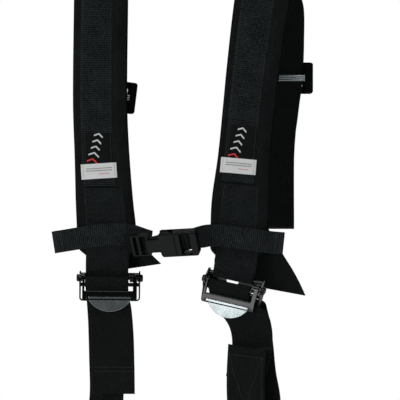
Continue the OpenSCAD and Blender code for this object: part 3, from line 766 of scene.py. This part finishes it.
def sew_cover(side, plain, materials):
    split = FACING_SPLIT[side]
    low, high = PATCH_Z[side]
    u0, u1 = FACING_EDGES[side]
    b0, b1 = BASE_EDGES[side]

    def along(run, share, up):
        return [(c + h * share + n * up, n) for (c, h), n in zip(run, normals(run))]

    def across(z, shares, up, bow=0.0):
        run = front_between(plain, z - 1.2, z + 1.2)[:2]
        (c, h), n = run[0], normals(run)[0]
        s0, s1 = shares
        row = []
        for k in range(13):
            q = s0 + (s1 - s0) * k / 12
            t = 2 * k / 12 - 1
            row.append((c + h * q + n * (up + bow * (1 - t * t)), n))
        return row

    over = above(plain, split)[:-3]
    body = front_between(plain, BASE_LOW, split)
    rows = [along(over, u0 + 0.05, 6.2), along(over, u1 - 0.06, 6.35),
            along(body, b0 + 0.06, 6.1), along(body, b1 - 0.06, 6.1)]
    seams = stitches(f"{side}_pad_seams", rows, materials["stitch"], 3.4, 2.2, 0.2)
    put(seams, "root", "webbing")
    patch_run = front_between(plain, low + 1, high - 1)
    rows = [along(patch_run, u0 + 0.11, 7.0), along(patch_run, u1 - 0.09, 7.0),
            across(high - 2, (u0 + 0.1, u1 - 0.08), 6.8, 1.2)]
    border = stitches(f"{side}_patch_border", rows, materials["stitch"], 3.2, 2.2, 0.27)
    put(border, "root", "patch_cloth")
    rows = [across(split + 1.5, (u0, u1), 6.2, 1.15), across(split - 0.6, (u0, u1), 6.2, 1.1)]
    closing = stitches(f"{side}_closing_seam", rows, materials["seam_thread"], 2.9, 2.5, 0.42)
    put(closing, "root", "webbing")


# Middle of each label as x and z, and how far it leans
LABEL_AT = {"left": (-79.4, -256.7, -3.5), "right": (80.8, -250.9, 5)}
# Height of the label's face off the pad's middle, and how much its middle stands proud
LABEL_FACE = 7.5
LABEL_CROWN = 1.1
LABEL_SIZE = (41, 17.4)


def label_station(side, z):
    x, middle, lean = LABEL_AT[side]
    return station(x + (z - middle) * math.tan(math.radians(lean)), FRONT_Y, z, LABEL_SIZE[0] / 2, lean)


def build_label(side, materials):
    x, middle, lean = LABEL_AT[side]
    low = middle - LABEL_SIZE[1] / 2
    run = [label_station(side, low + LABEL_SIZE[1] * k / 12) for k in range(13)]

    def section(half, s):
        rows = []
        for q in (-1, -0.97, -0.8, -0.5, -0.2, 0.2, 0.5, 0.8, 0.97, 1):
            edge = 0.25 if abs(q) == 1 else 0
            rows.append((q * half, LABEL_FACE - 0.05 + LABEL_CROWN * (1 - q * q) - edge, 1))
        rows += [(half, 6.7, 0), (-half, 6.7, 0)]
        return rows
    label = sweep(f"{side}_side_label", run, section, materials["label_cloth"])
    put(label, "root", "label_cloth", f"{side}_label")

    def line(z, reach, offset=0.0):
        c, h = label_station(side, z)
        n = Vector((0, -1, 0))
        rows = []
        for k in range(15):
            q = reach * (2 * k / 14 - 1) + offset
            rows.append((c + h * q + n * (LABEL_FACE + LABEL_CROWN * (1 - q * q)), n))
        return rows

    def end_row(q):
        rows = []
        for k in range(9):
            c, h = label_station(side, low + 0.8 + (LABEL_SIZE[1] - 1.6) * k / 8)
            n = Vector((0, -1, 0))
            rows.append((c + h * q + n * (LABEL_FACE + LABEL_CROWN * (1 - q * q)), n))
        return rows
    ends = stitches(f"{side}_label_stitching", [end_row(-0.88), end_row(0.88)],
                    materials["grey_thread"], 2.4, 1.7, 0.24)
    put(ends, "root", "label_cloth")
    stripes = stitches(f"{side}_label_stripes", [line(middle + 3.2, 0.72), line(middle + 0.6, 0.72)],
                       materials["grey_thread"], 1.5, 1.6, 0.42)
    put(stripes, "root", "label_cloth")
    accent = stitches(f"{side}_label_accent", [line(middle - 3.4, 0.3, 0.3)],
                      materials["red_thread"], 1.5, 1.6, 0.3)
    put(accent, "root", "label_cloth")


# Bottom and top of each emblem's axis, as x and z
EMBLEM_AXIS = {"left": ((-86.5, -243.5), (-79.5, -214.5)), "right": ((76, -237.5), (86, -208))}


CHEVRON_SLOPE = 0.62


def build_emblem(side, materials):
    """A plain stack of embroidered chevrons."""
    (x0, z0), (x1, z1) = EMBLEM_AXIS[side]
    count = 5
    white, red = [], []
    for k in range(count):
        t = k / (count - 1)
        at = Vector((x0 + (x1 - x0) * t, z0 + (z1 - z0) * t))
        lean = math.atan2(x1 - x0, z1 - z0)
        (red if k == 0 else white).append((at, lean, 6.6 - 0.5 * k))
    for tag, chevrons in (("white", white), ("red", red)):
        rows = []
        for at, lean, reach in chevrons:
            for arm in (-1, 1):
                for lift in (0, 1, 2):
                    rows.append([
                        chevron_point(side, at, lean, arm * reach * q, (lift - abs(reach * q)) * CHEVRON_SLOPE)
                        for q in (0, 0.2, 0.4, 0.6, 0.8, 1)
                    ])
        piece = stitches(f"{side}_chevrons_{tag}", rows, materials[f"{tag}_thread"], 1.2, 1.5, 0.36)
        put(piece, "root", "patch_cloth")


def chevron_point(side, at, lean, x, z):
    c, s = math.cos(lean), math.sin(lean)
    px, pz = at.x + x * c + z * s, at.y - x * s + z * c
    centre, across = PadPlaces(side).at_height(pz)
    u0, u1 = FACING_EDGES[side]
    q = ((px - centre.x) / across.x - (u0 + u1) / 2) / ((u1 - u0) / 2)
    return Vector((px, FRONT_Y - 6.85 - 1.2 * max(0.0, 1 - q * q), pz)), Vector((0, -1, 0))


# ---------------------------------------------------------------- webbing

REAR_RUN = {
    "left": ((-74, -36), (-73, -70), (-73, -110), (-73, -150), (-73, -200), (-73, -240), (-73, -316)),
    "right": ((123, -36), (133.6, -62), (134.4, -105), (132.6, -147), (127.4, -190), (123, -232),
              (122.7, -318.5)),
}
LOOP_GAP = 9
TAIL_TOP = {"left": -120, "right": -102}
SLIDE_Z = {"left": -167, "right": -147}

ADJUSTER_AT = {"left": Vector((-67, -40, -379.7)), "right": Vector((75.5, -40, -387.5))}
ADJUSTER_ROLL = {"left": 0.5, "right": 12}
ADJUSTER_YAW = {"left": 0, "right": 17}
DRUM = (-3.5, 0, -5.7)
LOOP_BAR = {"left": (-3.5, 9, 3.5), "right": (-3.5, 7, 8.5)}
BAR_R = 5
LOOP_BAR_R = 2.5
STRAP_TOP = {"left": (-69.5, -341), "right": (80, -341)}

# Rows are x, y, z, half width, roll and yaw
PULL_RUN = {
    "left": ((-62.6, -42.5, -513, HALF, 0, 0), (-63, -43, -480, HALF, 0, 0), (-64, -43, -445, HALF, 0, 0),
             (-66.5, -43, -415, HALF, 0, 0), (-69.5, -43.6, -402, HALF, 0, 0)),
    "right": ((90, -42, -491, HALF, -4, 16), (96.5, -42.5, -462, HALF, -8, 16), (96, -45.5, -440, HALF, -12, 16),
              (90, -48, -424, HALF, -14, 17), (75.5, -43.8, -411, HALF, 0, 17), (70.8, -43.4, -402, HALF, 10, 17)),
}
HANG_RUN = {
    "left": ((-69.8, -33.2, -400, HALF, 0, 0), (-68, -31.5, -430, HALF, 0, 6), (-68.5, -28, -470, HALF, 0, 20),
             (-71, -24, -512, HALF, 0, 36), (-72, -28, -548, HALF, 0, 26), (-72, -32, -585, HALF, 0, 0)),
    "right": ((75, -31.5, -402, HALF, 4, 15), (88, -30.5, -413, HALF, -14, 15), (92.5, -30, -425, HALF, -16, 18),
              (96, -30.5, -440, HALF, -12, 20), (99.5, -31, -462, HALF, -8, 26), (103, -31, -490, HALF, -8, 30),
              (108, -31.5, -519, HALF, -6, 30), (108.5, -32, -555, HALF, 0, 20), (101, -32, -590, HALF, 4, 0)),
}
LAP_BAR = {"left": (-72, -34, -612), "right": (100, -34, -616)}
LAP_TURN_R = 3.4
RETURN_RUN = {
    "left": ((-72, -27.5, -598, HALF, 0, 0), (-72, -23.5, -575, HALF, 0, 8), (-72, -17.5, -545, HALF, 0, 22)),
    "right": ((99, -39.5, -598, HALF, 4, 0), (95, -47.5, -565, HALF, 2, 14), (89.5, -52, -519, HALF, 0, 28),
              (89, -52.5, -488, HALF, 2, 29), (90.5, -52, -459, HALF, 8, 29)),
}
# The free end behind each pad, as its left edge and its right edge
TAIL_EDGES = {
    "left": (((-101, -23, -330), (-55, -24, -318)), ((-84, -22, -350), (-35, -24, -336)),
             ((-70, -20, -364), (-21, -25, -351)), ((-57, -19, -371), (-8, -26, -363.6))),
    "right": (((66, -24, -330), (113, -23, -318)), ((80, -22, -360), (133, -22, -353)),
              ((92, -20, -375), (143, -22, -369)), ((100, -18, -385), (152, -23, -385.5)),
              ((109, -16, -391.5), (158.7, -25, -400.4))),
}
LAP_WEB_X = {"left": -72, "right": 100}
ANCHOR_Z = -842
ANCHOR_TURN_R = 4.8
STEP = 2.2


def in_adjuster(side, place):
    turn = (Matrix.Rotation(-math.radians(ADJUSTER_YAW[side]), 3, "Z")
            @ Matrix.Rotation(math.radians(ADJUSTER_ROLL[side]), 3, "Y"))
    return ADJUSTER_AT[side] + turn @ Vector(place)


def rows(table):
    return [station(*row) for row in table]


def rear_webbing_run(side):
    down = [station(x, CREST_R, z, HALF) for x, z in REAR_RUN[side]]
    low = REAR_RUN[side][6]
    fold = wrap((low[0], CREST_R + LOOP_GAP / 2, low[1]), LOOP_GAP / 2, 180, 360, HALF, 0, 0)
    run = REAR_RUN[side]
    up = [
        station(low[0], CREST_R + LOOP_GAP, low[1] + 40, HALF),
        station(run[5][0] + 0.3, CREST_R + LOOP_GAP - 2, run[5][1], HALF),
        station(run[4][0], CREST_R + 2.6, SLIDE_Z[side] - 38, HALF),
        station(run[3][0], CREST_R + 2.4, SLIDE_Z[side], HALF),
        station(run[2][0], CREST_R + 2.4, TAIL_TOP[side], HALF),
    ]
    return smooth(down, STEP) + fold[1:] + smooth(up, STEP)


def adjuster_webbing_run(side):
    r, w = ADJUSTER_ROLL[side], ADJUSTER_YAW[side]
    bar = in_adjuster(side, LOOP_BAR[side])
    fold = wrap(bar, LOOP_BAR_R + WEB_T / 2 + 0.3, 180, 360, HALF, r, w)
    x, z = STRAP_TOP[side]
    lean = (bar.x - x) / (z - bar.z)
    rise = 15  # Height above the loop bar at which the strap starts to turn with the adjuster
    first, last = fold[0][0], fold[-1][0]
    front = [
        station(x, FRONT_Y - 7.4, z, HALF),
        station(x + lean * 11, FRONT_Y - 7.4, z - 11, HALF, r * 0.3),
        station(bar.x - lean * rise, FRONT_Y - 6.9, bar.z + rise, HALF, r * 0.7, w * 0.6),
        station(first.x - lean * 4, first.y - 0.6, first.z + 4, HALF, r, w),
    ]
    back = [
        station(last.x - lean * 3, last.y + 0.2, last.z + 4, HALF, r, w),
        station(bar.x - lean * rise, FRONT_Y + 7.4, bar.z + rise, HALF, r * 0.5, w * 0.4),
        station(x + lean * rise, FRONT_Y + 7.4, z - rise, HALF),
    ]
    return smooth(front, STEP) + fold + smooth(back, STEP)


def lower_webbing_runs(side):
    """The pull end, the turn over the friction bar, the rear run, the loop and the sewn return."""
    over = wrap(in_adjuster(side, DRUM), BAR_R + WEB_T / 2 + 0.3, 190, -10, HALF,
                ADJUSTER_ROLL[side], ADJUSTER_YAW[side])
    x, y, z = LAP_BAR[side]
    z -= 1.2
    turn = (180, 360) if side == "left" else (0, -180)
    under = wrap((x, y, z), LAP_TURN_R, turn[0], turn[1], HALF, 0, 0)
    lead = station(x, y + LAP_TURN_R * math.cos(math.radians(turn[0])), z + 8, HALF)
    pull = smooth(rows(PULL_RUN[side]), STEP)
    hang = smooth(rows(HANG_RUN[side]) + [lead], STEP)
    back = smooth(rows(RETURN_RUN[side]), STEP)
    return pull, over, hang, under, back


def lap_webbing_run(side):
    x, y = LAP_WEB_X[side], LAP_BAR[side][1]
    top = LAP_BAR[side][2] - 58.8
    first = [station(x, y + 3.1, top - 70, HALF), station(x, y + 3.2, top - 34, HALF)]
    over = wrap((x, y, top), LAP_TURN_R, 0, 180, HALF, 0, 0)
    down = [station(x, y + dy, z, HALF) for dy, z in
            ((-3.2, top - 34), (-3.2, top - 80), (-2.6, -752), (-2.6, -808), (-4.2, -826))]
    under = wrap((x, y, ANCHOR_Z), ANCHOR_TURN_R, 180, 360, HALF, 0, 0)
    back = [station(x, y + dy, z, HALF) for dy, z in ((4.2, -824), (-0.2, -806), (-0.2, -748))]
    return smooth(first, STEP), over, smooth(down, STEP), under, smooth(back, STEP)


def box_stitch(name, run, start, end, material, up=WEB_T / 2 + 0.05, reach=HALF - 3):
    """The sewn box with a cross that closes a webbing loop, on the face that normals point to."""
    lines = [row_across(run, start, reach, up), row_across(run, end, reach, up)]
    part = [s for s, d in zip(run, lengths(run)) if start <= d <= end]
    for sign in (-1, 1):
        lines.append(row_on(part, sign * reach, up))
        n = normals(part)
        last = len(part) - 1
        lines.append([(c + h.normalized() * (sign * reach * (2 * i / last - 1)) + n[i] * up, n[i])
                      for i, (c, h) in enumerate(part)])
    return put(stitches(name, lines, material, 3.1, 2.2, 0.27), "root", "webbing")


def build_webbing(side, materials):
    stitch = materials["stitch"]
    seed = 3.0 if side == "left" else 11.0
    rear = rear_webbing_run(side)
    # The rear strap, the free end below and the plug's strap end use rear_webbing, the webbing painted darker:
    # painted shade.
    piece = strap(f"{side}_rear_strap", rear, WEB_T, materials["rear_webbing"], 0.12, seed=seed)
    put(piece, "root", "webbing", f"{side}_rear_webbing")
    adjuster = adjuster_webbing_run(side)
    piece = strap(f"{side}_upper_strap", adjuster, WEB_T, materials["webbing"], 0.1, seed=seed + 1)
    put(piece, "root", "webbing", f"{side}_adjuster_webbing")
    edges = [((Vector(a) + Vector(b)) / 2, (Vector(b) - Vector(a)) / 2) for a, b in TAIL_EDGES[side]]
    piece = strap(f"{side}_free_end", smooth(edges, STEP), WEB_T, materials["rear_webbing"], 0.5,
                  seed=seed + 2)
    put(piece, "root", "webbing", f"{side}_web_tail")
    pull, over, hang, under, back = lower_webbing_runs(side)
    whole = pull + over + hang + under + back
    # The lower strap here and the lap strap below use the darker copy of the webbing: painted shade.
    piece = strap(f"{side}_lower_strap", whole, WEB_T, materials["lower_webbing"], 0.2, seed=seed + 3)
    put(piece, "root", "webbing", f"{side}_lower_webbing")
    hem = [row_across(pull, s, HALF - 2.5, WEB_T / 2 + 0.1, 1) for s in (27, 30)]
    put(stitches(f"{side}_pull_hem", hem, stitch, 3.2, 2.2, 0.28), "root", "webbing")
    length = lengths(back)[-1]
    box_stitch(f"{side}_return_stitch", back, 10, length - 10, stitch)
    first, over, down, under, up = lap_webbing_run(side)
    whole = first + over + down + under + up
    piece = strap(f"{side}_lap_strap", whole, WEB_T, materials["lower_webbing"], 0.08, seed=seed + 4)
    put(piece, "root", "webbing", f"{side}_lap_webbing")
    box_stitch(f"{side}_lap_stitch", first, 8, lengths(first)[-1] - 4, stitch)


# ---------------------------------------------------------------- sternum strap and buckle

STERNUM_HALF = 12.75
STERNUM_T = 1.6
# Rows are x, y, z and roll, from the buckle to the outer end
STERNUM_RUN = {
    "left": ((-19, -49.3, -338, 7), (-30, -47.8, -334.5, 6), (-40, -46.6, -331, 4), (-52, -46, -329.5, 1),
             (-66, -46, -329.3, -2), (-84, -46, -331, -5), (-98, -45.8, -333.2, -8), (-106, -44, -334.6, -9),
             (-113, -40, -335.8, -9), (-119, -37.6, -336.8, -9), (-131.5, -37, -338.8, -9)),
    "right": ((34, -57.5, -334, -12), (40, -51.5, -332, -9), (47, -47.5, -330.8, -5), (56, -46, -330.8, 2),
              (70, -46, -332, 7), (90, -46, -334.5, 8), (106, -45.8, -337, 8), (114, -43.6, -338, 7),
              (119, -40, -338.6, 6), (123, -37.6, -339, 6), (132.5, -37, -339.8, 6)),
}
# Rows are x and y, from the outer end back to the buckle
STERNUM_BACK = {
    "left": ((-131.5, -35.1), (-119, -35.2), (-113, -33.3), (-106, -29.4), (-98, -27.2), (-84, -27), (-52, -27),
             (-43, -27.1), (-36.5, -28.8), (-31.5, -33.5), (-27.5, -40.5), (-25, -46.4)),
    "right": ((132.5, -35.1), (123, -35.2), (119, -33.2), (114, -29.4), (106, -27.2), (90, -27), (56, -27),
              (49, -27.8), (43.5, -32), (40, -42), (37, -51.6)),
}
BUCKLE = (Matrix.Translation((-5.2, -63, -339.8)) @ Matrix.Rotation(math.radians(-12), 4, "Y")
          @ Matrix.Rotation(math.radians(28), 4, "X") @ Matrix.Rotation(math.radians(-18), 4, "Z"))


def upright(x, y, z, roll):
    """A station of a strap that runs along X: its half-width vector points up."""
    r = math.radians(roll)
    return (Vector((x, y, z)), Vector((math.sin(r), 0, math.cos(r))) * STERNUM_HALF)


def in_buckle(x, y, half=STERNUM_HALF):
    """A station in the buckle's own frame."""
    return (BUCKLE @ Vector((x, y, 0)), BUCKLE.to_3x3() @ Vector((0, 0, half)))


def lookup(x, table, column):
    table = sorted(table)
    if x <= table[0][0]:
        return table[0][column]
    for a, b in zip(table, table[1:]):
        if x <= b[0]:
            return a[column] + (b[column] - a[column]) * (x - a[0]) / (b[0] - a[0])
    return table[-1][column]


def build_sternum(side, materials):
    table = STERNUM_RUN[side]
    front = [upright(*row) for row in table]
    back = [upright(x, y, lookup(x, table, 2), lookup(x, table, 3)) for x, y in STERNUM_BACK[side]]
    if side == "right":
        # Both layers go through the socket's slot
        front = [in_buckle(20.6, 2.4), in_buckle(26, 3.8), in_buckle(30.6, 6)] + front[1:]
        back = back[:-1] + [in_buckle(x, y) for x, y in ((34.6, 9.4), (30, 7.8), (26, 5.6), (20.6, 4.2))]
    front, back = smooth(front, 1.5), smooth(back, 1.5)
    piece = strap(f"{side}_sternum_strap", front + back, STERNUM_T, materials["sternum_webbing"], 0.12,
                  0.09, seed=5.0 if side == "left" else 9.0)
    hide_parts(f"{side}_sternum_loop")
    if side == "right":
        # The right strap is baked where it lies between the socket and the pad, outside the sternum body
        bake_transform(piece)
    else:
        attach(piece, "sternum")
    # Bar tacks: close rows across both layers near the outer end
    sign = 1 if side == "left" else -1
    end = lengths(front)[-1]
    tacks = [row_across(front, end - d, STERNUM_HALF - 1.6, STERNUM_T / 2 + 0.12, sign)
             for d in (2.5, 4.5, 8, 10)]
    tacks = stitches(f"{side}_sternum_tacks", tacks, materials["stitch"], 2.3, 1.9, 0.3)
    put(tacks, "sternum", "webbing")


def build_plug_web(materials):
    """The strap's end behind the plug's ladder, which shows through both slots."""
    run = smooth([in_buckle(x, y, 11.6) for x, y in ((-46, 4.4), (-40, 3.9), (-30, 3.8), (-21, 3.9))], 1.5)
    piece = strap("plug_strap_end", run, STERNUM_T, materials["rear_webbing"], 0.0, 0.06)
    put(piece, "sternum", "webbing")


# ---------------------------------------------------------------- plates, bars and moulded parts

# Node, edge radius in millimetres and material
HARDWARE = {
    "rear_slide": (0.5, "black_steel"), "slide_bar": (0.25, "zinc_steel"),
    "adjuster_frame": (0.3, "black_steel"), "loop_bar": (0.3, "black_steel"),
    "friction_bar": (0.3, "black_steel"), "rivets": (0.35, "black_steel"),
    "release_yoke": (0.35, "black_steel"), "release_tab": (0.35, "zinc_steel"),
    "lap_slide": (0.5, "black_steel"), "anchor_plate": (0.45, "zinc_steel"),
}
MIDDLE = {
    "buckle_plug": (0.6, "black_plastic"), "buckle_prong_top": (0.5, "black_plastic"),
    "buckle_prong_bottom": (0.5, "black_plastic"), "buckle_socket": (0.9, "black_plastic"),
    "lap_tongue": (0.45, "zinc_steel"), "lap_latch_plate": (0.45, "zinc_steel"),
    "lap_latch_cover": (0.8, "black_steel"), "lap_latch_lever": (0.5, "black_steel"),
    "lap_latch_pin": (0.25, "zinc_steel"),
}


def soften(node, width, material, slot):
    """The CAD part with its edges broken, as tumbling or moulding leaves them."""
    source = frame["nodes"][node]
    mesh = source.data.copy()
    mesh.name = node + "_finished"
    mesh.transform(source.matrix_world)
    mesh.materials.clear()
    bm = bmesh.new()
    bm.from_mesh(mesh)
    bmesh.ops.remove_doubles(bm, verts=bm.verts, dist=1e-6)
    bmesh.ops.dissolve_limit(bm, angle_limit=math.radians(1.5), verts=bm.verts, edges=bm.edges)
    bm.to_mesh(mesh)
    bm.free()
    piece = link(node + "_finished", mesh, material)
    bevel = piece.modifiers.new("bevel", "BEVEL")
    bevel.width = width * MM
    bevel.segments = 2
    bevel.limit_method = "ANGLE"
    bevel.angle_limit = math.radians(35)
    bevel.use_clamp_overlap = True
    apply_modifiers(piece)
    for face in piece.data.polygons:
        face.use_smooth = True
    mark_creases(piece.data, 20)
    return put(piece, BODY_OF[node], slot, node)


def build_hardware(materials):
    for side in SIDES:
        for part, (width, material) in HARDWARE.items():
            soften(f"{side}_{part}", width, materials[material], material)
    for node, (width, material) in MIDDLE.items():
        soften(node, width, materials[material], material)


# ---------------------------------------------------------------- floor

def build_floor():
    s = Shader("floor", 0.9, specular=0.2)
    speck = s.noise(30, 3)
    s.colour(s.ramp(speck, (0.2, (0.8, 0.8, 0.8)), (0.8, (0.86, 0.86, 0.86))))
    s.set("Emission Color", (1, 1, 1, 1))
    s.set("Emission Strength", 0.3)
    mesh = bpy.data.meshes.new("floor")
    size, z = 6.0, -0.95
    corners = [(-size, -size, z), (size, -size, z), (size, size, z), (-size, size, z)]
    mesh.from_pydata(corners, [], [(0, 1, 2, 3)])
    link("floor", mesh, s.material)


# ---------------------------------------------------------------- build everything

build_camera()
build_light()
MATERIALS = build_materials()
for this_side in SIDES:
    build_pad(this_side, MATERIALS)
    build_pad_cover(this_side, MATERIALS)
    build_webbing(this_side, MATERIALS)
    build_sternum(this_side, MATERIALS)
build_plug_web(MATERIALS)
build_hardware(MATERIALS)
build_floor()
